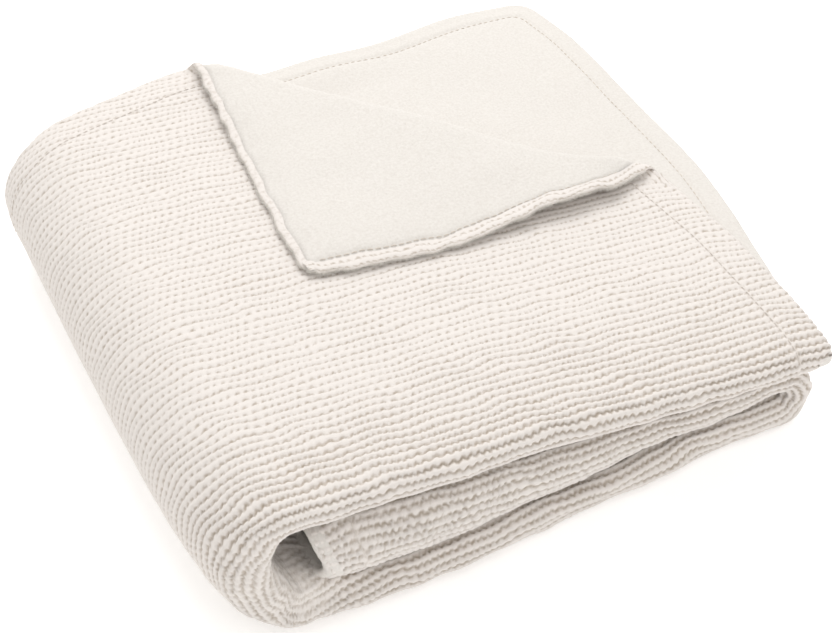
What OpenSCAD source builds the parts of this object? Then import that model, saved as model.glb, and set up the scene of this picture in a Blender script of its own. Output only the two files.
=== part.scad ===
// Folded throw blanket: knitted face, fleece lining, hem stitching.
// The flat throw is halved over the front edge, then folded in three along X.
// +X runs right along the front fold, +Y to the open hems, +Z up.

/* [Folded stack] */
// Width of the folded stack along its front edge
stack_w = 372; // [330:1:410]
// Depth of the folded stack from front fold to hems
stack_d = 366; // [330:1:400]
// Height of the big rounded fold at the left
left_h = 81; // [74:1:92]
// How far the lower ply of the top leaf reaches past the upper one
ply_step = 12; // [4:1:16]
// Slope of the top leaf down to the right, degrees
slope = 4.5; // [2:0.5:6]
// How far the top leaf reaches past the fold below it
overhang = 26; // [18:1:34]

/* [Cloth] */
// Thickness of the knitted face
knit_t = 4.7; // [3.5:0.1:5.2]
// Thickness of the fleece lining
lining_t = 3.6; // [2.5:0.1:4]
// Width of the hem band on the knitted face
hem_w = 20; // [14:1:24]
// Distance of the lining topstitch from the edge
stitch_in = 11.5; // [8:0.5:14]

/* [Turned corner] */
// Left end of the corner crease, from the left side of the stack
crease_x = 146; // [120:1:170]
// Right end of the corner crease, from the front of the stack
crease_y = 132; // [110:1:180]
// Width of the knitted edge that rolls on to the lining
roll_w = 8.5; // [6:0.5:10]

/* [Inner third] */
// Left end of the inner third, from the left side of the stack
inner_x = 62; // [58:1:90]
// Rise of the inner third towards its open end, degrees
inner_rise = 3; // [0:0.5:3.5]
// Height of the loop inside the right fold
loop_h = 4; // [2:0.5:5]

/* [Hidden] */
$fn = 96;
mid = 0.4;
thread = 0.4;
leaf_t = 2 * (knit_t + lining_t) + mid;
leaf_d = stack_d - ply_step;
left_r = left_h / 2;
right_r = leaf_t + loop_h / 2;
gap = 2.2;
top_x = left_r * (1 + sin(slope));
top_z = left_r * (1 + cos(slope));
ply_len = (stack_w - top_x + (leaf_t + mid) / 2 * sin(slope)) / cos(slope);
top_len = ply_len - ply_step;
right_x = stack_w - overhang - right_r;
cut_x = (crease_x - top_x) / cos(slope);
crease_a = atan2(crease_y - leaf_d, top_len - cut_x);
flap_lining_t = lining_t - 1;
stitch_z = knit_t + flap_lining_t + 0.6;
inner_len = right_x - inner_x;

// Closed outline of a doubled leaf, y to the back, z up, inset by a distance
module leaf_outline(inset, more = 0) {
  union() {
    translate([leaf_t / 2, leaf_t / 2])
      circle(r = leaf_t / 2 - inset);
    translate([leaf_t / 2, inset])
      square([leaf_d + more - leaf_t / 2, leaf_t - 2 * inset]);
  }
}

// Knitted shell of a doubled leaf
module knit_section(more = 0) {
  difference() {
    leaf_outline(0, more);
    leaf_outline(knit_t, more);
  }
}

// Fleece shell inside the knitted one
module lining_section(more = 0) {
  difference() {
    leaf_outline(knit_t, more);
    leaf_outline(knit_t + lining_t, more);
  }
}

// A stitched line round the outside of a doubled leaf
module stitch_section() {
  difference() {
    leaf_outline(-thread);
    leaf_outline(0);
    translate([leaf_d - hem_w, -1])
      square([hem_w + 1, leaf_t + 2]);
  }
}

// A leaf section drawn out along X
module leaf(len) {
  rotate([90, 0, 90])
    linear_extrude(height = len)
      children();
}

// A leaf section turned about Y from one leaf to the next
module turned(radius, from, sweep) {
  rotate([90, 0, 0])
    rotate([0, 0, from])
      rotate_extrude(angle = sweep)
        translate([radius - leaf_t, 0])
          rotate([0, 0, -90])
            children();
}

module in_stack() {
  translate([(thread - stack_w) / 2, (thread - stack_d) / 2, 0])
    children();
}

module on_bottom() {
  in_stack()
    translate([left_r + gap, 0, 0])
      children();
}

module on_right() {
  in_stack()
    translate([right_x, 0, right_r])
      children();
}

module on_inner() {
  in_stack()
    translate([right_x, 0, right_r])
      rotate([0, inner_rise, 0])
        translate([-inner_len, 0, loop_h / 2])
          children();
}

module on_left() {
  in_stack()
    translate([left_r, 0, left_r])
      children();
}

// Frame of the top leaf: origin at its left end, on its top face
module on_top() {
  in_stack()
    translate([top_x, 0, top_z])
      rotate([0, slope, 0])
        children();
}

// Turned back over the crease
module turned_back() {
  on_top()
    translate([cut_x, leaf_d, 0])
      rotate(a = 180, v = [cos(crease_a), sin(crease_a), 0])
        translate([-cut_x, -leaf_d, 0])
          children();
}

// Corner triangle of the upper ply, clear of the crease by a distance
module corner(clear, edge) {
  linear_extrude(height = 1)
    polygon([
      [cut_x + clear / sin(-crease_a) + edge * (1 / tan(-crease_a)), leaf_d - edge],
      [top_len - edge, leaf_d - edge],
      [top_len - edge, crease_y + clear / cos(crease_a) + edge * tan(-crease_a)]
    ]);
}

// Slab of the corner triangle between two heights
module corner_slab(clear, edge, z0, z1) {
  translate([0, 0, z0])
    scale([1, 1, z1 - z0])
      corner(clear, edge);
}

module bottom_knit() {
  color([0.93, 0.91, 0.88])
    on_bottom()
      leaf(right_x - left_r - gap)
        knit_section();
}

module bottom_lining() {
  color([0.97, 0.96, 0.93])
    on_bottom()
      leaf(right_x - left_r - gap)
        lining_section();
}

// Line of stitches that closes the back edges of the bottom leaf
module bottom_stitch() {
  color([0.9, 0.88, 0.83])
    on_bottom()
      translate([0, leaf_d, leaf_t - knit_t / 2])
        cube([right_x - left_r - gap, thread, 1.2]);
}

module right_fold_knit() {
  color([0.93, 0.91, 0.88])
    on_right()
      turned(right_r, -90, 180 - inner_rise)
        knit_section();
}

module right_fold_lining() {
  color([0.97, 0.96, 0.93])
    on_right()
      turned(right_r, -90, 180 - inner_rise)
        lining_section();
}

module inner_knit() {
  color([0.93, 0.91, 0.88])
    on_inner()
      leaf(inner_len)
        knit_section();
}

module inner_lining() {
  color([0.97, 0.96, 0.93])
    on_inner()
      leaf(inner_len)
        lining_section();
}

// Hem stitching round the open end of the inner third
module inner_stitch() {
  color([0.9, 0.88, 0.83])
    on_inner()
      translate([hem_w, 0, 0])
        leaf(1.2)
          stitch_section();
}

module left_fold_knit() {
  color([0.93, 0.91, 0.88])
    on_left()
      turned(left_r, 90 - slope, 180 + slope)
        knit_section();
}

module left_fold_lining() {
  color([0.97, 0.96, 0.93])
    on_left()
      turned(left_r, 90 - slope, 180 + slope)
        lining_section();
}

// Hem stitching that follows the outside of the big fold
module left_fold_stitch() {
  color([0.9, 0.88, 0.83])
    on_left()
      translate([0, leaf_d - hem_w, 0])
        rotate([90, 0, 0])
          rotate([0, 0, 94 - slope])
            rotate_extrude(angle = 146)
              translate([left_r, 0])
                square([thread, 1.2]);
}

// The upper ply ends short of the lower one at the right and at the back
module upper_ply_cut() {
  on_top()
    translate([top_len, -1, -leaf_t / 2])
      cube([ply_step + 1, stack_d + 2, leaf_t]);
  on_top()
    translate([-1, leaf_d, -leaf_t / 2])
      cube([stack_w, ply_step + 1, leaf_t]);
}

module top_knit() {
  color([0.93, 0.91, 0.88])
    difference() {
      on_top()
        translate([gap, 0, -leaf_t])
          leaf(top_len + ply_step - gap)
            knit_section(ply_step);
      upper_ply_cut();
      on_top()
        corner_slab(-0.4, -1, -leaf_t / 2, 1);
    }
}

module top_lining() {
  color([0.97, 0.96, 0.93])
    difference() {
      on_top()
        translate([gap, 0, -leaf_t])
          leaf(top_len + ply_step - gap)
            lining_section(ply_step);
      upper_ply_cut();
      on_top()
        corner_slab(-0.4, -1, -leaf_t / 2, 1);
    }
}

// Hem stitching on the knitted face, along the right edge
module top_side_stitch() {
  color([0.9, 0.88, 0.83])
    on_top()
      translate([top_len - hem_w, leaf_t / 2, 0])
        cube([1.2, crease_y - leaf_t, thread]);
}

// Hem stitching on the knitted face, along the back edge
module top_back_stitch() {
  color([0.9, 0.88, 0.83])
    on_top()
      translate([gap, leaf_d - hem_w, 0])
        cube([cut_x - gap - 12, 1.2, thread]);
}

// Topstitching on the lining of the ply under the turned corner
module lower_ply_stitch() {
  color([0.92, 0.9, 0.86])
    on_top()
      translate([0, 0, -leaf_t / 2 - mid / 2])
        linear_extrude(height = thread)
          polygon([
            [cut_x + 24, stack_d - stitch_in],
            [ply_len - stitch_in, stack_d - stitch_in],
            [ply_len - stitch_in, crease_y + 24],
            [ply_len - stitch_in - 1.2, crease_y + 24],
            [ply_len - stitch_in - 1.2, stack_d - stitch_in - 1.2],
            [cut_x + 24, stack_d - stitch_in - 1.2]
          ]);
}

module flap_knit() {
  color([0.93, 0.91, 0.88])
    turned_back()
      corner_slab(0.6, 0, -0.3 - knit_t, -0.3);
}

module flap_lining() {
  color([0.97, 0.96, 0.93])
    turned_back()
      corner_slab(0.6, roll_w, -0.3 - knit_t - flap_lining_t, -0.3 - knit_t);
}

// Knitted edge that rolls on to the lining round the two free sides
module flap_edge_roll() {
  color([0.93, 0.91, 0.88])
    turned_back()
      difference() {
        corner_slab(0.6, 0, -0.3 - knit_t - flap_lining_t, -0.3 - knit_t);
        corner_slab(-9, roll_w, -0.4 - knit_t - flap_lining_t, -0.2 - knit_t);
      }
}

// Topstitching beside the rolled edge
module flap_stitch() {
  color([0.9, 0.88, 0.83])
    turned_back()
      difference() {
        corner_slab(4, stitch_in, -stitch_z, 0.3 - stitch_z);
        corner_slab(-9, stitch_in + 1.2, -1 - stitch_z, 1 - stitch_z);
      }
}

bottom_knit();
bottom_lining();
bottom_stitch();
right_fold_knit();
right_fold_lining();
inner_knit();
inner_lining();
inner_stitch();
left_fold_knit();
left_fold_lining();
left_fold_stitch();
top_knit();
top_lining();
top_side_stitch();
top_back_stitch();
lower_ply_stitch();
flap_knit();
flap_lining();
flap_edge_roll();
flap_stitch();
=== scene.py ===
"""Looks for the folded throw: knitted face, fleece lining, hem stitching, floor, light and camera.

Shapes are worked out in millimetres in the stack's own space (x from the left fold, y from the
front fold, z up) and moved into the frame when each mesh is made.
"""
import math

import bpy
import numpy as np
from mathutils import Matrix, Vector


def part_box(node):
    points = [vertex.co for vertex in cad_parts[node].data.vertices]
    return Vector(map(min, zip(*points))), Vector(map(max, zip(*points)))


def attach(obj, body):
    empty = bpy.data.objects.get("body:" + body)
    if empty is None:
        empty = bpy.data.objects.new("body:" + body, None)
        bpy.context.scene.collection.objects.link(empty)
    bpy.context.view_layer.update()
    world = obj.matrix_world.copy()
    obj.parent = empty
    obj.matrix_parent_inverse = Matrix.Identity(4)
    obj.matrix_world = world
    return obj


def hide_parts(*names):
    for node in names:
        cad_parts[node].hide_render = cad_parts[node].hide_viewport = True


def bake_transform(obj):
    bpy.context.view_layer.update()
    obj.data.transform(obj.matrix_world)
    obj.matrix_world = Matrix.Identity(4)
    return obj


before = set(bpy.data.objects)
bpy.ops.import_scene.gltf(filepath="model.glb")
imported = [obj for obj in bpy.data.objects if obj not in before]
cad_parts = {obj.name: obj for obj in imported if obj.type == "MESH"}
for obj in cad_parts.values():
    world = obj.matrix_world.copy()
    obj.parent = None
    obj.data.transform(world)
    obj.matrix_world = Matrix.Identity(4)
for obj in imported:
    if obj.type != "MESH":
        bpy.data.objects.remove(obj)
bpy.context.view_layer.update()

# ---------------------------------------------------------------- sizes, mm
FOLD_R = (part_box("left_fold_knit")[1][2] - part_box("left_fold_knit")[0][2]) * 500
LEAF = (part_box("bottom_knit")[1][2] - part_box("bottom_knit")[0][2]) * 1000
DEPTH = (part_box("bottom_knit")[1][1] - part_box("bottom_knit")[0][1]) * 1000
X0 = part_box("left_fold_knit")[0][0] * 1000
Y0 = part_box("bottom_knit")[0][1] * 1000
RIGHT_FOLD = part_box("right_fold_knit")[1][0] * 1000 - X0
# the top leaf's right end and its slope, and the inner third's open end and its rise
TOP_END = 354.0
SLOPE = math.radians(4.5)
INNER_END = 55.0
RISE = math.radians(3)
# the gap left inside the tight right fold
LOOP = 4.0
# one ply is the knit and its fleece together
PLY = 8.3
ROW = 4.7
STITCH = 4.2
rng = np.random.default_rng(7)


def smooth(v, lo, hi):
    """0 below lo, 1 above hi, and an even rise between."""
    w = np.clip((np.asarray(v, float) - lo) / (hi - lo), 0, 1)
    return w * w * (3 - 2 * w)


# ---------------------------------------------------------------- noise
class Noise:
    """Smooth repeatable noise on a plane: a few random waves with a given wavelength."""

    def __init__(self, length, waves=9, seed=0):
        g = np.random.default_rng(seed)
        angle = g.uniform(0, 2 * math.pi, waves)
        size = 2 * math.pi / (length * g.uniform(0.7, 1.6, waves))
        self.kx = size * np.cos(angle)
        self.ky = size * np.sin(angle)
        self.phase = g.uniform(0, 2 * math.pi, waves)
        self.scale = 1 / math.sqrt(waves / 2)

    def __call__(self, x, y):
        total = 0
        for kx, ky, phase in zip(self.kx, self.ky, self.phase):
            total = total + np.sin(kx * x + ky * y + phase)
        return total * self.scale


BROAD = Noise(120, seed=1)
SOFT = Noise(45, seed=2)
FINE = Noise(14, seed=3)
PILE = Noise(3.2, waves=24, seed=4)
PILE2 = Noise(1.7, waves=24, seed=5)
EDGE = Noise(9, seed=6)


# ---------------------------------------------------------------- the spiral's middle line
class Spiral:
    """Middle line of the doubled cloth, from the top leaf's right end round to the inner end."""

    def __init__(self):
        r = FOLD_R - LEAF / 2
        rr = LEAF / 2 + LOOP / 2
        top_x = FOLD_R * (1 + math.sin(SLOPE))
        self.top_len = (TOP_END - top_x) / math.cos(SLOPE)
        left_turn = math.pi + SLOPE
        right_x = RIGHT_FOLD - rr - LEAF / 2
        right_turn = math.pi - RISE
        self.parts = [
            ("line", self.top_len, (FOLD_R, FOLD_R), r, math.pi / 2 - SLOPE),
            ("arc", r * left_turn, (FOLD_R, FOLD_R), r, math.pi / 2 - SLOPE, left_turn),
            ("line", right_x - FOLD_R, (FOLD_R, FOLD_R), r, 1.5 * math.pi),
            ("arc", rr * right_turn, (right_x, LEAF / 2 + rr), rr, -math.pi / 2, right_turn),
            ("line", (right_x - INNER_END) / math.cos(RISE), (right_x, LEAF / 2 + rr), rr,
             math.pi / 2 - RISE),
        ]
        ends = np.cumsum([p[1] for p in self.parts])
        self.starts = [0, *ends[:-1]]
        self.top_end, self.left_end, self.bottom_end, self.right_end, self.length = ends
        self.left_mid = self.top_end + r * (math.pi / 2 + SLOPE)
        self.radius = {1: r, 3: rr}

    def at(self, u):
        """Position and outward normal at lengths u along the middle line."""
        u = np.asarray(u, float)
        x, z, nx, nz = (np.zeros_like(u) for _ in range(4))
        for k, part in enumerate(self.parts):
            kind, length, (cx, cz), r, a0 = part[:5]
            last = k == len(self.parts) - 1
            m = (u >= self.starts[k]) & ((u < self.starts[k] + length) | last)
            if k == 0:
                m = u < length
            d = u[m] - self.starts[k]
            if kind == "arc":
                a = a0 + d / r
                x[m] = cx + r * np.cos(a)
                z[m] = cz + r * np.sin(a)
                nx[m] = np.cos(a)
                nz[m] = np.sin(a)
            else:
                along = d - length if k == 0 else d
                n = (math.cos(a0), math.sin(a0))
                x[m] = cx + r * n[0] - along * n[1]
                z[m] = cz + r * n[1] + along * n[0]
                nx[m], nz[m] = n
        return x, z, nx, nz

    def ply_length(self, u, off):
        """Length along a line that stays a distance off outside the middle line."""
        u = np.asarray(u, float)
        extra = 0
        for k, r in self.radius.items():
            length = self.parts[k][1]
            extra = extra + np.clip(u - self.starts[k], 0, length) * off / r
        return u + extra


SPIRAL = Spiral()


# ---------------------------------------------------------------- knit relief
def knit_relief(s, t, ridged):
    """Height of the knitted face, 0 in the pits to 1 on the bumps, over material lengths in mm.
    ridged runs from 0, where only the pits between bumps show, to 1, where whole rows part."""
    t = t + 0.5 * FINE(s * 0.6, t * 0.6)
    s = s + 1.2 * FINE(t * 0.5 + 40, s * 0.5)
    line = np.round(t / ROW)
    # each row starts its stitches at its own place
    turn = 2 * math.pi * (s / STITCH + 0.5 * line) + 0.9 * np.sin(line * 12.9898)
    tooth = np.cos(turn)
    gap = t - line * ROW - (0.45 + 0.3 * ridged) * tooth
    width = 0.8 + 0.2 * ridged
    groove = np.exp(-((gap / width) ** 2))
    uneven = 0.5 + 0.5 * np.sin(line * 78.233 + np.round(s / STITCH) * 37.7)
    filled = (0.5 + 0.5 * tooth) ** 0.6 * (0.98 - 0.42 * uneven) * (1 - 0.8 * ridged)
    dome = 1 - 0.22 * (2 * (t / ROW - np.round(t / ROW - 0.5) - 0.5)) ** 2 * (0.5 + ridged)
    return np.clip((1 - groove * (1 - filled)) * dome + 0.05 * np.cos(turn * 2), 0, 1)


# ---------------------------------------------------------------- section of a doubled leaf
EDGE_R = PLY / 2
FLAT = DEPTH - LEAF / 2
ARC = math.pi * LEAF / 2
ACROSS = 2 * FLAT + ARC
# a wrapped hem goes half round the ply's edge, then runs back a little on the other side
BACK = 5.0
TURN = math.pi * EDGE_R
ROLL = TURN + BACK
FOLD_PUFF = 16
THIRD_PUFF = 20


def rolled(over, wraps):
    """Past a cut edge the cloth turns round the ply, right round where it wraps the edge or a
    quarter turn inside the other cloth. Gives how far it stands out past the edge, and how much
    of the ply it has crossed."""
    r = np.where(wraps, EDGE_R, EDGE_R - 0.7)
    b = np.clip(over / r, 0, np.where(wraps, math.pi, math.pi / 2))
    back = np.where(wraps, np.clip(over - TURN, 0, None), 0)
    return r * np.sin(b) - back, (1 - np.cos(b)) / 2


def section(t, h):
    """Across a doubled leaf h thick: y, depth n below the outer face, and the inward direction,
    for t from 0 at the outer ply's hem through the front fold to ACROSS at the inner ply's."""
    u = np.clip(t, 0, ACROSS)
    a = np.clip((u - FLAT) / (LEAF / 2), 0, math.pi)
    flat_y = h / 2 + np.maximum(FLAT - u, u - FLAT - ARC) * (DEPTH - h / 2) / FLAT
    on_arc = (u > FLAT) & (u < FLAT + ARC)
    y = np.where(on_arc, h / 2 * (1 - np.sin(a)), flat_y)
    n = h / 2 * (1 - np.cos(a))
    return y, n, np.where(on_arc, np.sin(a), 0), np.cos(a)


def fold_puff(u):
    """The big fold bulges inwards at its lower half."""
    grown = smooth(u, SPIRAL.top_end, SPIRAL.left_mid + 12)
    return FOLD_PUFF * grown * (1 - smooth(u, SPIRAL.left_end, SPIRAL.left_end + 50))


def third_puff(u):
    """The inner third springs open towards its end."""
    near_end = SPIRAL.length - 15
    return THIRD_PUFF * smooth(u, SPIRAL.right_end, near_end) - 2 * smooth(u, near_end, SPIRAL.length)


def leaf_thickness(u):
    """Thickness of the doubled leaf at lengths u along the spiral."""
    return LEAF + fold_puff(u) + third_puff(u)


def top_height(x, y):
    """Height of the top leaf's upper face."""
    flat = 2 * FOLD_R - np.clip(x - FOLD_R * (1 + math.sin(SLOPE)), 0, None) * math.tan(SLOPE)
    return flat + 0.45 * BROAD(x, y) + 0.25 * SOFT(x, y)


def warp(x, y, z, u, inner):
    """Soft misalignment: hems that run askew, front folds that recede, a rounded front left corner.
    inner is 0 on the outer ply and 1 on the inner one."""
    top = 1 - smooth(u, SPIRAL.left_mid - 20, SPIRAL.left_mid + 40)
    third = smooth(u, SPIRAL.right_end - 20, SPIRAL.right_end + 10)
    bottom = 1 - top - third
    back_outer = 336 + 30 * smooth(x, 0, 130)
    back_inner = 338 + 46 * np.clip(x / 368, 0, 1)
    back_top = back_outer + (back_inner - back_outer) * inner
    back_rest = 338 + 14 * smooth(x, 0, 200) + 3 * inner
    back = top * back_top + (1 - top) * back_rest - EDGE_R
    front = (
        top * (1.5 + 1.5 * np.sin(x / 70))
        + bottom * (-5 + 11 * smooth(x, 120, 340))
        + third * (-4 + 12 * smooth(x, 120, 330))
    )
    share = np.clip(y / DEPTH, -0.05, 1.1)
    y = front + y * (back - front) / DEPTH
    near = np.clip(y, 0, None)
    # the top leaf's right end: the second ply shows past the first
    wide_in = 26 * smooth(y, 0, 200) - 6 * smooth(y, 310, 385)
    wide_out = -8 * smooth(y, 90, 190)
    x = x - top * smooth(x, 300, 356) * 5 * np.exp(-near / 25)
    reach = top * smooth(x, 150, 356)
    x = x + reach * (wide_in * inner + wide_out * (1 - inner))
    # round front left corner, and the right fold pushed out at the front
    x = x + 15 * np.exp(-near / 38) * (1 - smooth(x, 0, 75))
    x = x + (bottom + third) * 5.5 * np.exp(-near / 90) * smooth(x, 270, 335)
    # the open end's hem slants back under the inner third
    low = smooth(62 - z, 6, 40) * smooth(-x, -115, -55)
    x = x + third * low * (13 * np.exp(-near / 11) - 5)
    swell = 0.45 * BROAD(x, y) + 0.25 * SOFT(x, y)
    z = z + swell * smooth(z, 12, 40) * (0.35 + 0.65 * share)
    y = y + 0.9 * SOFT(x * 0.8 + 90, z * 2 + 30 * inner) * (1 - smooth(y, 0, 60))
    y = y + 1.2 * SOFT(x * 0.7, 200 + 70 * inner + 50 * third) * smooth(y, 250, 350)
    z = z - top * 3.2 * np.exp(-near / 14) * (1 - inner)
    return x, y, z


def place(u, y, n, inner, past=0):
    """A point of the leaf at length u, y across and n below the outer face, or past its end."""
    cx, cz, nx, nz = SPIRAL.at(u)
    off = LEAF / 2 - n + 0.3 * third_puff(u)
    return warp(cx + nx * off + past * nz, y, cz + nz * off - past * nx, u, inner)


# ---------------------------------------------------------------- meshes
def normals(v):
    """Unit normals of a grid of points."""
    du = np.gradient(v, axis=0)
    dv = np.gradient(v, axis=1)
    n = np.cross(du, dv)
    return n / np.maximum(np.linalg.norm(n, axis=2, keepdims=True), 1e-9)


def grid_mesh(name, v, cloth, material, keep=None, drop=None):
    """A mesh from a grid of points, with the material's own lengths kept as an attribute. It has
    the faces whose points are all in keep, but not those whose points are all in drop."""
    nu, nt = v.shape[:2]
    index = np.arange(nu * nt).reshape(nu, nt)
    corners = [index[:-1, :-1], index[1:, :-1], index[1:, 1:], index[:-1, 1:]]
    quads = np.stack(corners, -1).reshape(-1, 4)
    if keep is not None:
        quads = quads[keep.reshape(-1)[quads].all(axis=1)]
    if drop is not None:
        quads = quads[~drop.reshape(-1)[quads].all(axis=1)]
    used = np.unique(quads)
    remap = np.zeros(nu * nt, int)
    remap[used] = np.arange(len(used))
    quads = remap[quads]
    return raw_mesh(name, v.reshape(-1, 3)[used], quads, cloth.reshape(-1, 3)[used], material)


def raw_mesh(name, points, faces, cloth, material):
    """A mesh from points in mm and faces that all have the same number of corners. Nothing goes
    below height 0. cloth holds each point's two lengths and its relief or pile, or is None."""
    points = (points + (X0, Y0, 0)) / 1000
    points[:, 2] = np.maximum(points[:, 2], 0)
    mesh = bpy.data.meshes.new(name)
    mesh.vertices.add(len(points))
    mesh.vertices.foreach_set("co", points.astype(np.float32).ravel())
    mesh.loops.add(faces.size)
    mesh.loops.foreach_set("vertex_index", faces.astype(np.int32).ravel())
    mesh.polygons.add(len(faces))
    mesh.polygons.foreach_set("loop_start", np.arange(0, faces.size, faces.shape[1], dtype=np.int32))
    mesh.update(calc_edges=True)
    mesh.polygons.foreach_set("use_smooth", np.ones(len(faces), bool))
    if cloth is not None:
        lengths = mesh.attributes.new("cloth", "FLOAT_VECTOR", "POINT")
        lengths.data.foreach_set("vector", (cloth / 1000).astype(np.float32).ravel())
    obj = bpy.data.objects.new(name, mesh)
    bpy.context.scene.collection.objects.link(obj)
    mesh.materials.append(material)
    return obj


def steps(lo, hi, pitch):
    """Even steps from lo to hi, about pitch apart."""
    return np.linspace(lo, hi, max(2, int(round((hi - lo) / pitch)) + 1))


def graded(*runs):
    """Lengths along a run, each stretch (lo, hi, pitch) at its own pitch."""
    out = [np.array([runs[0][0]])]
    for lo, hi, pitch in runs:
        out.append(steps(lo, hi, pitch)[1:])
    return np.concatenate(out)


# ---------------------------------------------------------------- materials
def material(name, colour, rough, build=None):
    """A matt cloth or paint of one colour, or as build makes it."""
    m = bpy.data.materials.new(name)
    m.use_nodes = True
    nodes, links = m.node_tree.nodes, m.node_tree.links
    b = nodes["Principled BSDF"]
    b.inputs["Base Color"].default_value = (*colour, 1)
    b.inputs["Roughness"].default_value = rough
    b.inputs["Specular IOR Level"].default_value = 0.2
    b.inputs["Sheen Weight"].default_value = 0.1
    b.inputs["Sheen Roughness"].default_value = 0.5
    if build:
        build(nodes, links, b)
    return m


def noise_node(nodes, links, coord, scale, detail):
    """A fine noise fixed to the object."""
    noise = nodes.new("ShaderNodeTexNoise")
    noise.inputs["Scale"].default_value = scale
    noise.inputs["Detail"].default_value = detail
    links.new(coord.outputs["Object"], noise.inputs["Vector"])
    return noise.outputs[0]


def math_node(nodes, links, kind, *values):
    """A sum worked out from numbers and other nodes' outputs."""
    node = nodes.new("ShaderNodeMath")
    node.operation = kind
    for socket, value in zip(node.inputs, values):
        if isinstance(value, (int, float)):
            socket.default_value = value
        else:
            links.new(value, socket)
    return node.outputs[0]


def colour_between(nodes, links, b, value, low, high):
    """Colours the surface by a value, each end given as (place, colour)."""
    ramp = nodes.new("ShaderNodeValToRGB")
    for element, (place_at, colour) in zip(ramp.color_ramp.elements, (low, high)):
        element.position = place_at
        element.color = (*colour, 1)
    links.new(value, ramp.inputs[0])
    links.new(ramp.outputs[0], b.inputs["Base Color"])


def bumpy(nodes, links, b, height, strength, distance):
    bump = nodes.new("ShaderNodeBump")
    bump.inputs["Strength"].default_value = strength
    bump.inputs["Distance"].default_value = distance
    links.new(height, bump.inputs["Height"])
    links.new(bump.outputs[0], b.inputs["Normal"])


def knit_nodes(nodes, links, b):
    """Cream, with painted shade that darkens it to tan in the pits between the stitches, mottled at random,
    with a fine yarn.
    """
    attr = nodes.new("ShaderNodeAttribute")
    attr.attribute_name = "cloth"
    split = nodes.new("ShaderNodeSeparateXYZ")
    links.new(attr.outputs["Vector"], split.inputs[0])
    # the attribute's z holds a thousandth of the relief, which is 0 in the pits and 1 on the bumps
    relief = math_node(nodes, links, "MULTIPLY", split.outputs["Z"], 1000)
    coord = nodes.new("ShaderNodeTexCoord")
    mottle = noise_node(nodes, links, coord, 420, 3)
    uneven = math_node(nodes, links, "MULTIPLY_ADD", mottle, 0.9, -0.45)
    pit_shade_and_mottle = math_node(nodes, links, "ADD", relief, uneven)
    # the ramp paints shade into the pits: low relief turns tan, high relief stays cream
    colour_between(nodes, links, b, pit_shade_and_mottle, (0.08, (0.47, 0.405, 0.34)), (0.75, (0.78, 0.735, 0.70)))
    bumpy(nodes, links, b, noise_node(nodes, links, coord, 1400, 3), 0.35, 0.0006)


def fleece_nodes(nodes, links, b):
    """A short even pile with hardly any change of colour."""
    coord = nodes.new("ShaderNodeTexCoord")
    pile = noise_node(nodes, links, coord, 700, 4)
    colour_between(nodes, links, b, pile, (0.3, (0.69, 0.655, 0.615)), (0.65, (0.752, 0.722, 0.685)))
    bumpy(nodes, links, b, pile, 0.3, 0.0008)


KNIT_CLOTH = material("knit_cloth", (0.70, 0.66, 0.61), 0.9, knit_nodes)
FLEECE_CLOTH = material("fleece_cloth", (0.74, 0.72, 0.67), 0.95, fleece_nodes)
SEAM_THREAD = material("seam_thread", (0.72, 0.67, 0.62), 0.8)
STITCH_THREAD = material("topstitch_thread", (0.66, 0.60, 0.53), 0.8)
KNIT_FUZZ = material("knit_fuzz", (0.80, 0.76, 0.72), 0.9)
FLEECE_FUZZ = material("fleece_fuzz", (0.80, 0.78, 0.74), 0.9)


# ---------------------------------------------------------------- cloth over the spiral
RELIEF = 1.5
# the closing seam on the knit and the topstitching on the lining, from the edge
SEAM = 20.0
TOPSTITCH = 11.5
STITCH_TURN = 9.0
BEND = TOPSTITCH + STITCH_TURN
FLEECE_DEPTH = PLY - 0.3
# how much thinner a ply is at its cut edges
THIN_EDGE = 0.36
# how far the cut corners are drawn in
CUT_ROUND = 4
# how far the outer ply's knit runs on past the front fold
PAST_FOLD = 14
# how far the second ply's lining gives way under the unfolded corner
BED = 2.6
# the relief that stays at the cloth's own level
RELIEF_MEAN = 0.75


def leaf_points(us, ts, knit):
    """Points of the knit or the fleece over lengths us along the spiral and ts across the leaf.
    Lengths past a cut edge turn round the ply, and gone marks those hidden inside the other cloth."""
    u, t = np.meshgrid(us, ts, indexing="ij")
    on_u = np.clip(u, 0, SPIRAL.length)
    inner = smooth(t, FLAT, FLAT + ARC)
    past_t = np.maximum(-t, t - ACROSS)
    past_u = np.maximum(-u, u - SPIRAL.length)
    wraps_t = (t < FLAT) == knit
    wraps_u = (u < FLAT) & (inner < 0.8) if knit else (u > FLAT) | (inner > 0.25)
    out_t, in_t = rolled(np.clip(past_t, 0, None), wraps_t)
    out_u, in_u = rolled(np.clip(past_u, 0, None), wraps_u)
    crossed = 1 - (1 - in_t) * (1 - in_u)
    d = PLY * crossed if knit else FLEECE_DEPTH - (FLEECE_DEPTH + 0.5) * crossed
    edge = np.minimum(np.clip(-past_t, 0, None), np.clip(-past_u, 0, None))
    thin = THIN_EDGE * np.exp(-((edge / 9) ** 2))
    d = d + (PLY / 2 - d) * thin
    y, n, my, mn = section(t, leaf_thickness(on_u))
    y = y + out_t + my * d
    n = n + mn * d
    # the corners are cut round
    corner = np.exp(-(np.clip(-past_t, 0, None) + np.clip(-past_u, 0, None)) / 7)
    y = y - CUT_ROUND * corner
    toward = np.where(u < FLAT, 1, -1)
    x, y, z = place(on_u, y, n, inner, (out_u - CUT_ROUND * corner) * toward)
    quarter = math.pi / 2 * EDGE_R
    gone = ((past_t > quarter) & ~wraps_t) | ((past_u > quarter) & ~wraps_u)
    return np.stack([x, y, z], -1), u, t, inner, gone


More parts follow.
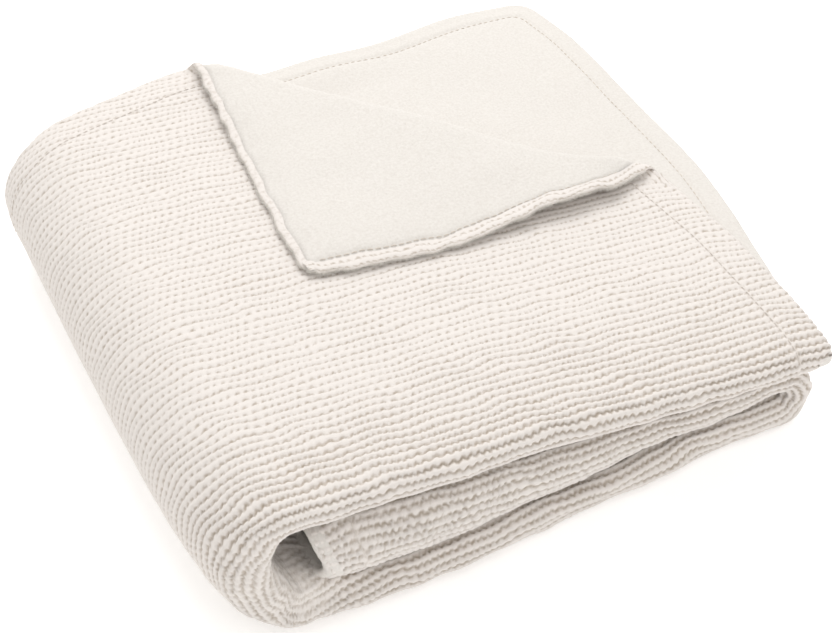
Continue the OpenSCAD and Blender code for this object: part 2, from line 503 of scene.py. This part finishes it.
def cloth_lengths(v, u, t):
    """Lengths along and across the cloth itself, for its knitted rows."""
    across = np.linalg.norm(np.diff(v, axis=1), axis=2)
    run = np.concatenate([np.zeros((len(v), 1)), np.cumsum(across, axis=1)], 1)
    zero = np.argmin(np.abs(t[0] - FLAT))
    run = run - run[:, zero:zero + 1] + ROW * 75
    return SPIRAL.ply_length(u, LEAF / 2 if t[0, 0] < FLAT else -LEAF / 2), run


def outward(v, u, t, inner, way):
    """Unit normals on the outer side of the leaf (way 1) or on its inside (way -1)."""
    n = normals(v)
    _, _, nx, nz = SPIRAL.at(np.clip(u, 0, SPIRAL.length))
    facing = (n[..., 0] * nx + n[..., 2] * nz) * np.where(inner < 0.5, 1, -1)
    flat_part = (t > 0) & (t < FLAT) if t[0, 0] < FLAT else t < ACROSS
    return n * np.sign(facing[flat_part].mean()) * way


def knit_over(name, us, ts, keep=None):
    """The knitted face over lengths us along the spiral and ts across, in ridges at the front fold."""
    v, u, t, inner, gone = leaf_points(us, ts, True)
    s, run = cloth_lengths(v, u, t)
    side = np.minimum(np.abs(u), np.abs(SPIRAL.length - u))
    hem = np.minimum(side, np.minimum(np.abs(t), np.abs(ACROSS - t)))
    run = run + 1.7 * (side < SEAM)
    front = np.exp(-((np.abs(t - FLAT - ARC / 2) / 60) ** 2))
    ridged = np.clip((0.85 + 0.15 * (u > SPIRAL.right_end)) * front + 0.07 * SOFT(u, t), 0, 1)
    relief = knit_relief(s, run, ridged)
    band = np.exp(-(((hem - SEAM) / 1.7) ** 4))
    squeezed = inner * smooth(u, SPIRAL.top_end - 20, SPIRAL.top_end + 20) * (t < FLAT + ARC + 15)
    squeezed = squeezed * (1 - smooth(u, SPIRAL.left_end, SPIRAL.left_end + 30))
    # the seam pulls the face flat, and so does the inside of the big fold; the painted pit shade evens out
    # with the relief there
    relief = relief + (0.62 - relief) * 0.75 * np.maximum(band, squeezed)
    lifted = RELIEF * (0.8 + 0.5 * ridged) * (relief - RELIEF_MEAN)
    lifted = lifted + 0.25 * FINE(s * 0.8, run * 0.8) * ridged
    v = v + outward(v, u, t, inner, 1) * lifted[..., None]
    kept = ~gone if keep is None else ~gone & keep(v, u, t)
    return grid_mesh(name, v, np.stack([s, run, relief], -1), KNIT_CLOTH, kept)


def fleece_over(name, us, ts, keep=None):
    """The lining over lengths us along the spiral and ts across, pulled in along its topstitching."""
    v, u, t, inner, gone = leaf_points(us, ts, False)
    s, run = cloth_lengths(v, u, t)
    pile = 0.5 + 0.3 * PILE(s, run) + 0.2 * PILE2(s, run)
    side = np.minimum(np.abs(u), np.abs(SPIRAL.length - u))
    hem = np.abs(ACROSS - t)
    # the distance from the edge, counted round the corner where both edges are near
    edge = np.minimum(np.where(u < 0, -9, side), np.where(t > ACROSS, -9, hem))
    corner = np.hypot(np.clip(BEND - side, 0, None), np.clip(BEND - hem, 0, None))
    edge = np.where((side < BEND) & (hem < BEND), BEND - corner, edge)
    stitched = np.exp(-(((edge - TOPSTITCH) / 1.5) ** 2))
    rim = smooth(-edge, -TOPSTITCH, -TOPSTITCH + 4) * (inner > 0.5)
    lifted = 0.22 * (pile - 0.5) - 1.0 * stitched + 0.4 * rim
    v = v + outward(v, u, t, inner, -1) * lifted[..., None]
    # the second ply gives way where the unfolded corner lies down on it
    beyond = crease_side(v[..., 0], v[..., 1])
    bed = (inner > 0.99) * (u < 240) * smooth(beyond, 0, 20)
    bed = bed * (1 - smooth(beyond, 55, 120)) * smooth(edge, 14, 40)
    v[..., 2] -= BED * bed
    kept = ~gone if keep is None else ~gone & keep(v, u, t)
    return grid_mesh(name, v, np.stack([s, run, pile], -1), FLEECE_CLOTH, kept)


# the turned corner, in plan: where it lies, and the directions of its two free edges
TIP = np.array([121.0, 155.0])
TIP_TO_CREASE = 145
CREASE_ANGLE = math.radians(-47.4)
ALONG = np.array([math.cos(CREASE_ANGLE), math.sin(CREASE_ANGLE)])
BEYOND = np.array([-ALONG[1], ALONG[0]])
LEFT_EDGE = 2 * (-ALONG[0]) * ALONG - np.array([-1.0, 0.0])
LOW_EDGE = 2 * (-ALONG[1]) * ALONG - np.array([0.0, -1.0])
CREASE_MID = TIP + BEYOND * TIP_TO_CREASE
# the corner's height above the top leaf: everywhere, and more at the crease
LIFT_MIN = 3.0
CREASE_LIFT = 3.4
# what runs on under the top leaf past the crease's turn
KNIT_TAIL = 8.0
FLEECE_TAIL = 14.0
CORNER_SIDE = 262.0


def crease_side(x, y):
    """How far a plan point lies beyond the crease's middle line."""
    bent = 40 * np.clip((x - 262) / 85, 0, 1.1) ** 1.5
    return (x - CREASE_MID[0]) * BEYOND[0] + (y - bent - CREASE_MID[1]) * BEYOND[1]


def keep_top(v, u, t):
    """The outer ply is cut away under the turned corner, with its hems running on a little."""
    beyond = crease_side(v[..., 0], v[..., 1]) > np.where(np.minimum(u, t) < 14, 5, 2)
    return ~(beyond & (t < FLAT - 60) & (u < SPIRAL.top_end - 10))


def outer_lengths(pitch):
    """Lengths across a leaf for its knit: fine on the outer ply and the front fold."""
    return graded((-ROLL, 0, 1.4), (0, FLAT - 60, pitch), (FLAT - 60, FLAT, 0.85),
                  (FLAT, FLAT + ARC, 0.7), (FLAT + ARC, FLAT + ARC + PAST_FOLD, 1.0))


INNER_LENGTHS = graded((FLAT + ARC + PAST_FOLD, ACROSS, 1.5), (ACROSS, ACROSS + ROLL, 1.6))


def lining_lengths(fine_from):
    """Lengths across a leaf for its fleece: fine where the lining of the inner ply shows."""
    return graded((-ROLL, 0, 2), (0, FLAT, 8), (FLAT, FLAT + ARC, 2.5), (FLAT + ARC, fine_from, 6),
                  (fine_from, ACROSS, 1.15), (ACROSS, ACROSS + ROLL, 1.0))


# the cloth is cut into three at the big fold's leftmost line and the bottom third's end
SPLITS = (SPIRAL.left_mid, SPIRAL.bottom_end)
END = SPIRAL.length
upper_knit = knit_over("upper_knit", graded((-ROLL, 0, 1.3), (0, SPLITS[0], 1.0)),
                       outer_lengths(0.85), keep_top)
lower_knit = knit_over("lower_knit",
                       graded((SPLITS[0], SPIRAL.left_end, 1.0), (SPIRAL.left_end, SPLITS[1], 1.15)),
                       outer_lengths(1.2))
third_knit = knit_over("third_knit", graded((SPLITS[1], END, 1.15), (END, END + ROLL, 1.4)),
                       outer_lengths(1.2))
upper_under = knit_over("upper_under_knit", graded((-ROLL, 0, 1.5), (0, SPLITS[0], 1.4)), INNER_LENGTHS)
lower_under = knit_over("lower_under_knit", graded((SPLITS[0], SPLITS[1], 1.4)), INNER_LENGTHS)
third_under = knit_over("third_under_knit", graded((SPLITS[1], END, 1.4), (END, END + ROLL, 1.5)),
                        INNER_LENGTHS)
upper_fleece = fleece_over("upper_fleece", graded((-ROLL, 0, 1.0), (0, 250, 1.15), (250, SPLITS[0], 5)),
                           lining_lengths(FLAT + ARC + 90), keep_top)
lower_fleece = fleece_over("lower_fleece", graded((SPLITS[0], SPLITS[1], 5)), lining_lengths(ACROSS - 20))
third_fleece = fleece_over("third_fleece", graded((SPLITS[1], END - 40, 5), (END - 40, END + ROLL, 1.2)),
                           graded((-ROLL, 0, 2), (0, FLAT - 60, 6), (FLAT - 60, FLAT + ARC + 60, 1.4),
                                  (FLAT + ARC + 60, ACROSS, 6), (ACROSS, ACROSS + ROLL, 1.0)))


# ---------------------------------------------------------------- the turned corner
CORNER_PLY = 6.0
# how far the wrapped hem shows on the lining, at the left edge and at the low edge
BACK_LEFT = 0.0
BACK_LOW = 4.5
# near where the low edge meets the crease, and how far the cloth is drawn back there
LOW_END = 228
DRAWN_BACK = 41
# how far the crease's right end is pressed down
END_LOWERED = 3.1


def corner_points(p, q, knit):
    """Points of the turned corner. p is the distance from the low edge and q from the left edge,
    less than 0 past the edge. The knitted face lies underneath."""
    out_p, in_p = rolled(np.clip(-p, 0, None), np.full_like(p, knit, bool))
    out_q, in_q = rolled(np.clip(-q, 0, None), np.full_like(q, knit, bool))
    crossed = 1 - (1 - in_p) * (1 - in_q)
    d = CORNER_PLY * crossed if knit else CORNER_PLY - 0.3
    edge = np.minimum(np.clip(p, 0, None), np.clip(q, 0, None))
    d = d + (CORNER_PLY / 2 - d) * 0.4 * np.exp(-((edge / 8) ** 2))
    round_tip = 3 * np.exp(-(np.clip(p, 0, None) + np.clip(q, 0, None)) / 9)
    pe = np.where(p < 0, -out_p, p) + round_tip
    qe = np.where(q < 0, -out_q, q) + round_tip
    x = TIP[0] + pe * LEFT_EDGE[0] + qe * LOW_EDGE[0]
    y = TIP[1] + pe * LEFT_EDGE[1] + qe * LOW_EDGE[1]
    b = (CREASE_MID[0] - x) * BEYOND[0] + (CREASE_MID[1] - y) * BEYOND[1]
    # it stands highest along the crease and towards the right of its low edge, and lies down at its
    # edges and where the crease meets the low edge
    lift = LIFT_MIN + CREASE_LIFT * (1 - smooth(b, 0, 80))
    lift = lift + 4 * smooth(qe, 50, 200) * np.exp(-np.clip(pe, 0, None) / 80)
    lift = lift - 3.2 * np.exp(-np.clip(edge, 0, None) / 14) * (1 - smooth(qe, 60, 190))
    lift = lift - 6.5 * np.exp(-np.clip(pe, 0, None) / 30) * (1 - smooth(b, 0, 60)) * smooth(qe, 120, 190)
    mid_r = lift / 2 + CORNER_PLY / 2
    a = np.clip(-b / mid_r, 0, math.pi)
    tail = np.clip(-b - math.pi * mid_r, 0, None)
    r = lift / 2 + d
    bent = b < 0
    shift = np.where(bent, b + r * np.sin(a) - tail, 0)
    x = x + BEYOND[0] * shift
    y = y + BEYOND[1] * shift
    # the hidden end tucks in under the top leaf's hems
    tuck = smooth(tail, 0, 7)
    x = x - 4 * tuck * np.exp(-np.clip(p, 0, None) / 6)
    y = y - 4 * tuck * np.exp(-np.clip(q, 0, None) / 6)
    away = np.hypot(qe - LOW_END, pe)
    y = y + DRAWN_BACK * np.clip(1 - away / (95 + 75 * smooth(b, 0, 60)), 0, 1) ** 1.5
    above = np.where(bent, lift / 2 + r * np.cos(a), lift + d)
    z = top_height(x, y) + above - 0.9 * smooth(tail, 0, 4)
    z = z - 3.5 * tuck * np.exp(-np.clip(np.minimum(p, q), 0, None) / 5)
    # the crease's right end is pressed down, so that it sinks less into the second ply when unfolded
    z = z - END_LOWERED * (1 - smooth(p, 4, 26)) * smooth(q, 185, 215) * (1 - smooth(b, 10, 40)) * (a < 2)
    wave = 0.6 * EDGE(x * 0.5, y * 0.5) * np.exp(-np.clip(np.minimum(pe, qe), 0, None) / 12)
    return np.stack([x + wave * 0.8, y + wave, z], -1), b, mid_r


def corner_grid(low, left):
    """Distances from the low edge and from the left edge over the whole corner."""
    from_low = graded((low, 0, 1.0), (0, CORNER_SIDE, 1.0))
    from_left = graded((left, 0, 1.0), (0, CORNER_SIDE, 1.0))
    return np.meshgrid(from_low, from_left, indexing="ij")


def corner_normals(v, b, way):
    """Unit normals of the turned corner, upwards on its flat part (way 1) or downwards (way -1)."""
    n = normals(v)
    return n * np.sign(n[b > 40][:, 2].mean()) * way


def corner_knit():
    """The corner's knit as its flat part and its crease, flatter on the rolled hem and in the crease."""
    p, q = corner_grid(-TURN - BACK_LOW, -TURN - BACK_LEFT)
    v, b, mid_r = corner_points(p, q, True)
    edge = np.minimum(p, q)
    relief = knit_relief(q, p, 0.35)
    # on the rolled left edge the relief is eased towards the middle, which flattens it and lightens its
    # painted pit shade
    relief = relief + (0.7 - relief) * 0.75 * smooth(-q, 0, 4) * (p > 0)
    lifted = 1.25 * (relief - RELIEF_MEAN) * (1 - 0.75 * smooth(-edge, 0, TURN / 2)) * (1 - 0.6 * (b < 0))
    v = v + corner_normals(v, b, -1) * lifted[..., None]
    keep = b > -(math.pi * mid_r + KNIT_TAIL)
    cloth = np.stack([q, p, relief], -1)
    flat_part = grid_mesh("corner_knit", v, cloth, KNIT_CLOTH, b >= 0)
    return flat_part, grid_mesh("crease_knit", v, cloth, KNIT_CLOTH, keep, b >= 0)


def corner_fleece():
    """The corner's lining as its flat part and its crease, let into the hem's knitted strip."""
    p, q = corner_grid(0, -1.5)
    v, b, mid_r = corner_points(p, q, False)
    pile = 0.5 + 0.3 * PILE(q, p) + 0.2 * PILE2(q, p)
    from_strip = np.minimum(p - BACK_LOW, q - BACK_LEFT)
    lifted = 0.22 * (pile - 0.5) + 0.9 * smooth(from_strip, -1, 3) - 0.9
    v = v + corner_normals(v, b, 1) * lifted[..., None]
    keep = (b > -(math.pi * mid_r + FLEECE_TAIL)) & (from_strip > -2)
    cloth = np.stack([q, p, pile], -1)
    flat_part = grid_mesh("corner_fleece", v, cloth, FLEECE_CLOTH, keep & (b >= 0))
    return flat_part, grid_mesh("crease_fleece", v, cloth, FLEECE_CLOTH, keep, b >= 0)


corner_knit_piece, crease_knit_piece = corner_knit()
corner_fleece_piece, crease_fleece_piece = corner_fleece()


# ---------------------------------------------------------------- stitches
DASH = 3.1
DASH_PITCH = 4.5
THREAD_R = 0.28
# points along a stitch and round its thread
ALONG_DASH = 5
ROUND_DASH = 5
# a small step to either side of a line, to find the cloth's normal there
NEAR = np.array([-0.5, 0, 0.5])
SEAM_LIFT = 0.25
LINING_LIFT = -0.75


def seam_line(us, ts, knit, lift):
    """Points at a lift from the cloth, and its normals, along a line with one length us or one ts."""
    if len(ts) == 1:
        v, u, t, inner, _ = leaf_points(us, ts[0] + NEAR, knit)
        n = outward(v, u, t, inner, 1 if knit else -1)[:, 1]
        v = v[:, 1]
    else:
        v, u, t, inner, _ = leaf_points(us[0] + NEAR, ts, knit)
        n = outward(v, u, t, inner, 1 if knit else -1)[1]
        v = v[1]
    return v + n * lift, n


def seam_curve(us, ts, knit, lift):
    """The same for a line that turns, given by its points' two lengths."""
    points = []
    ups = []
    for u0, t0 in zip(us, ts):
        v, u, t, inner, _ = leaf_points(u0 + NEAR, t0 + NEAR, knit)
        n = outward(v, u, t, inner, 1 if knit else -1)[1, 1]
        points.append(v[1, 1] + n * lift)
        ups.append(n)
    return np.array(points), np.array(ups)


def joined(*lines):
    """One line of points and normals from several that follow each other."""
    return np.concatenate([line[0] for line in lines]), np.concatenate([line[1] for line in lines])


def dashes(name, lines, thread, keep=None):
    """Sewn stitches along lines of points: short threads that dive into the cloth at both ends."""
    points = []
    faces = []
    count = 0
    ring = np.linspace(0, 2 * math.pi, ROUND_DASH + 1)[:-1]
    for line, up in lines:
        run = np.concatenate([[0], np.cumsum(np.linalg.norm(np.diff(line, axis=0), axis=1))])
        starts = np.arange(1, run[-1] - DASH, DASH_PITCH)
        w = np.linspace(0, 1, ALONG_DASH)
        at = starts[:, None] + DASH * w
        c = np.stack([np.interp(at, run, line[:, k]) for k in range(3)], -1)
        n = np.stack([np.interp(at, run, up[:, k]) for k in range(3)], -1)
        if keep is not None:
            good = keep(c[:, 2])
            c, n = c[good], n[good]
        along = np.gradient(c, axis=1)
        side = np.cross(along, n)
        side = side / np.maximum(np.linalg.norm(side, axis=2, keepdims=True), 1e-9)
        c = c + n * (0.45 * np.sin(math.pi * w) - 0.35)[None, :, None]
        tube = (c[:, :, None] + THREAD_R * np.cos(ring)[None, None, :, None] * side[:, :, None]
                + THREAD_R * np.sin(ring)[None, None, :, None] * n[:, :, None])
        total = len(c) * ALONG_DASH * ROUND_DASH
        index = count + np.arange(total).reshape(len(c), ALONG_DASH, ROUND_DASH)
        nxt = np.roll(index, -1, axis=2)
        faces.append(np.stack([index[:, :-1], index[:, 1:], nxt[:, 1:], nxt[:, :-1]], -1).reshape(-1, 4))
        points.append(tube.reshape(-1, 3))
        count += total
    return raw_mesh(name, np.concatenate(points), np.concatenate(faces), None, thread)


def shown_on_top(c):
    """Stitches that the turned corner doesn't take away."""
    return crease_side(c[:, 0], c[:, 1]) < -3


FRONT = FLAT + ARC / 2
upper_seam = dashes("upper_seam_thread", [
    seam_line(np.array([SEAM]), steps(SEAM, FRONT, 2), True, SEAM_LIFT),
    seam_line(steps(SEAM, SPLITS[0], 2), np.array([SEAM]), True, SEAM_LIFT),
], SEAM_THREAD, shown_on_top)
lower_seam = dashes("lower_seam_thread", [
    seam_line(steps(SPLITS[0], SPLITS[1], 2), np.array([SEAM]), True, SEAM_LIFT),
], SEAM_THREAD)
third_seam = dashes("third_seam_thread", [
    seam_line(steps(SPLITS[1], END - SEAM, 2), np.array([SEAM]), True, SEAM_LIFT),
    seam_line(np.array([END - SEAM]), steps(SEAM, FRONT, 2), True, SEAM_LIFT),
], SEAM_THREAD)
TURN_ARC = np.linspace(0, math.pi / 2, 9)
lining_stitch = dashes("lining_topstitch_thread", [joined(
    seam_line(np.array([TOPSTITCH]), steps(FLAT + ARC + 60, ACROSS - BEND, 2), False, LINING_LIFT),
    seam_curve(BEND - STITCH_TURN * np.cos(TURN_ARC), ACROSS - BEND + STITCH_TURN * np.sin(TURN_ARC),
               False, LINING_LIFT),
    seam_line(steps(BEND, SPLITS[0] - 5, 2), np.array([ACROSS - TOPSTITCH]), False, LINING_LIFT),
)], STITCH_THREAD)


def corner_line(p, q, lift):
    """A line of points and normals on the corner's lining, up to its crease."""
    v, b, _ = corner_points(p[:, None], q[:, None], False)
    keep = b[:, 0] > 4
    return v[keep, 0] + (0, 0, lift), np.tile([0.0, 0.0, 1.0], (keep.sum(), 1))


lengths = steps(6, 230, 2)
corner_stitch = dashes("corner_thread", [corner_line(np.full_like(lengths, BACK_LOW + 0.4), lengths, -0.25)],
                       STITCH_THREAD)


# ---------------------------------------------------------------- loose fibres
FIBRE_HALF_WIDE = 0.06


def fibres(name, source, count, length, lean, material, near=None):
    """Loose fibres standing off a piece: thin three-sided slivers at random points of its surface."""
    mesh = source.data
    total = len(mesh.vertices)
    co = np.empty(total * 3, np.float32)
    mesh.vertices.foreach_get("co", co)
    no = np.empty(total * 3, np.float32)
    mesh.vertex_normals.foreach_get("vector", no)
    co = co.reshape(-1, 3).astype(float) * 1000 - (X0, Y0, 0)
    no = no.reshape(-1, 3).astype(float)
    pool = np.arange(total) if near is None else np.nonzero(near(co, no))[0]
    pick = rng.choice(pool, count)
    p, n = co[pick], no[pick]
    flip = OUTER_SIGN[source.name]
    way = n * flip + lean * rng.normal(size=p.shape)
    way = way / np.linalg.norm(way, axis=1, keepdims=True)
    side = np.cross(way, rng.normal(size=p.shape))
    side = side / np.linalg.norm(side, axis=1, keepdims=True) * FIBRE_HALF_WIDE
    base = p + rng.normal(size=p.shape) * 0.25 - n * flip * 0.1
    tip = base + way * (length * rng.uniform(0.4, 1.2, (count, 1)))
    points = np.stack([base - side, base + side, tip], 1).reshape(-1, 3)
    return raw_mesh(name, points, np.arange(count * 3).reshape(-1, 3), None, material)


def facing_sign(piece, up):
    """1 if the piece's own normals point the way they should at most of its faces, else -1."""
    mesh = piece.data
    no = np.empty(len(mesh.polygons) * 3, np.float32)
    mesh.polygons.foreach_get("normal", no)
    return 1 if (no.reshape(-1, 3)[:, 2].mean() > 0) == up else -1


OUTER_SIGN = {
    upper_knit.name: facing_sign(upper_knit, True),
    lower_knit.name: facing_sign(lower_knit, False),
    third_knit.name: facing_sign(third_knit, True),
    corner_fleece_piece.name: facing_sign(corner_fleece_piece, True),
    corner_knit_piece.name: facing_sign(corner_knit_piece, False),
}
upper_fibres = fibres("upper_knit_fibres", upper_knit, 40000, 1.6, 0.8, KNIT_FUZZ)
lower_fibres = fibres("lower_knit_fibres", lower_knit, 16000, 1.3, 0.8, KNIT_FUZZ)
third_fibres = fibres("third_knit_fibres", third_knit, 14000, 1.3, 0.8, KNIT_FUZZ)
corner_fibres = fibres("corner_fleece_fibres", corner_fleece_piece, 16000, 0.9, 0.7, FLEECE_FUZZ)
edge_fibres = fibres("corner_edge_fibres", corner_knit_piece, 14000, 2.2, 0.8, FLEECE_FUZZ,
                     lambda co, no: np.abs(no[:, 2]) < 0.75)


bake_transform(upper_knit)
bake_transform(upper_fleece)
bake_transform(lower_knit)
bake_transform(lower_fleece)
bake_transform(upper_under)
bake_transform(lower_under)
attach(third_knit, "stack")
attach(third_under, "stack")
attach(third_fleece, "stack")
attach(corner_knit_piece, "corner_flap")
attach(corner_fleece_piece, "corner_flap")
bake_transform(crease_knit_piece)
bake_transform(crease_fleece_piece)

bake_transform(upper_seam)
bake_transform(upper_fibres)
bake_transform(lining_stitch)
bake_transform(lower_seam)
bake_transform(lower_fibres)
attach(third_seam, "stack")
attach(third_fibres, "stack")
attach(corner_stitch, "corner_flap")
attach(corner_fibres, "corner_flap")
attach(edge_fibres, "corner_flap")

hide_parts("top_knit", "left_fold_knit")
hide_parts("left_fold_stitch", "top_side_stitch", "top_back_stitch")
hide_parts("top_lining", "left_fold_lining")
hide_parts("lower_ply_stitch")
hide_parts("flap_knit", "flap_edge_roll")
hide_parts("flap_stitch")
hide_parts("flap_lining")
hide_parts("bottom_knit")
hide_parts("bottom_stitch")
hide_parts("inner_knit", "right_fold_knit")
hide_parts("inner_stitch")
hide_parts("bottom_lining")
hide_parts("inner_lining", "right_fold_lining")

# ---------------------------------------------------------------- camera, light, floor
# the view's middle on the floor, and how far round to the side and down the camera looks
AIM = np.array([193.5 + X0, 173.5 + Y0, 0]) / 1000
VIEW_SIDE = math.radians(26.4)
VIEW_DOWN = math.radians(43.0)
DISTANCE = 0.9872
LENS = 73.4
SENSOR = 36
LAMPS_AIM = (0, 0, 0.03)
FLOOR_Z = -0.0015
FLOOR_HALF = 6
FLOOR_GLOW = 0.26


def add_camera():
    forward = np.array([math.sin(VIEW_SIDE) * math.cos(VIEW_DOWN), math.cos(VIEW_SIDE) * math.cos(VIEW_DOWN),
                        -math.sin(VIEW_DOWN)])
    cam = bpy.data.cameras.new("camera")
    cam.lens = LENS
    cam.sensor_width = SENSOR
    eye = bpy.data.objects.new("camera", cam)
    bpy.context.scene.collection.objects.link(eye)
    eye.location = AIM - forward * DISTANCE
    eye.rotation_euler = (math.pi / 2 - VIEW_DOWN, 0, -VIEW_SIDE)
    bpy.context.scene.camera = eye


def add_floor():
    """A plain white floor that glows a little, so that shadows stay faint."""
    mesh = bpy.data.meshes.new("floor")
    h = FLOOR_HALF
    mesh.from_pydata([(-h, -h, 0), (h, -h, 0), (h, h, 0), (-h, h, 0)], [], [(0, 1, 2, 3)])
    floor = bpy.data.objects.new("floor", mesh)
    bpy.context.scene.collection.objects.link(floor)
    floor.location.z = FLOOR_Z
    paint = material("floor_paint", (0.98, 0.98, 0.98), 0.9)
    glow = paint.node_tree.nodes["Principled BSDF"].inputs
    glow["Emission Color"].default_value = (1, 1, 1, 1)
    glow["Emission Strength"].default_value = FLOOR_GLOW
    mesh.materials.append(paint)
    return floor


def add_world(colour, strength):
    world = bpy.data.worlds.new("studio")
    world.use_nodes = True
    world.node_tree.nodes["Background"].inputs[0].default_value = (*colour, 1)
    world.node_tree.nodes["Background"].inputs[1].default_value = strength
    bpy.context.scene.world = world


def lamp(name, place_at, size, power):
    """A soft square lamp that looks at the throw."""
    data = bpy.data.lights.new(name, "AREA")
    data.size = size
    data.energy = power
    o = bpy.data.objects.new(name, data)
    bpy.context.scene.collection.objects.link(o)
    o.location = place_at
    direction = np.array(LAMPS_AIM) - np.array(place_at)
    yaw = math.atan2(direction[1], direction[0])
    down = math.atan2(-direction[2], math.hypot(direction[0], direction[1]))
    o.rotation_euler = (math.pi / 2 - down, 0, yaw - math.pi / 2)


add_camera()
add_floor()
add_world((1, 0.985, 0.96), 0.75)
lamp("key", (0.3, 1.0, 1.6), 1.2, 19)
lamp("fill", (0.1, -1.1, 1.5), 1.6, 5.5)
bpy.context.scene.view_settings.view_transform = "Standard"
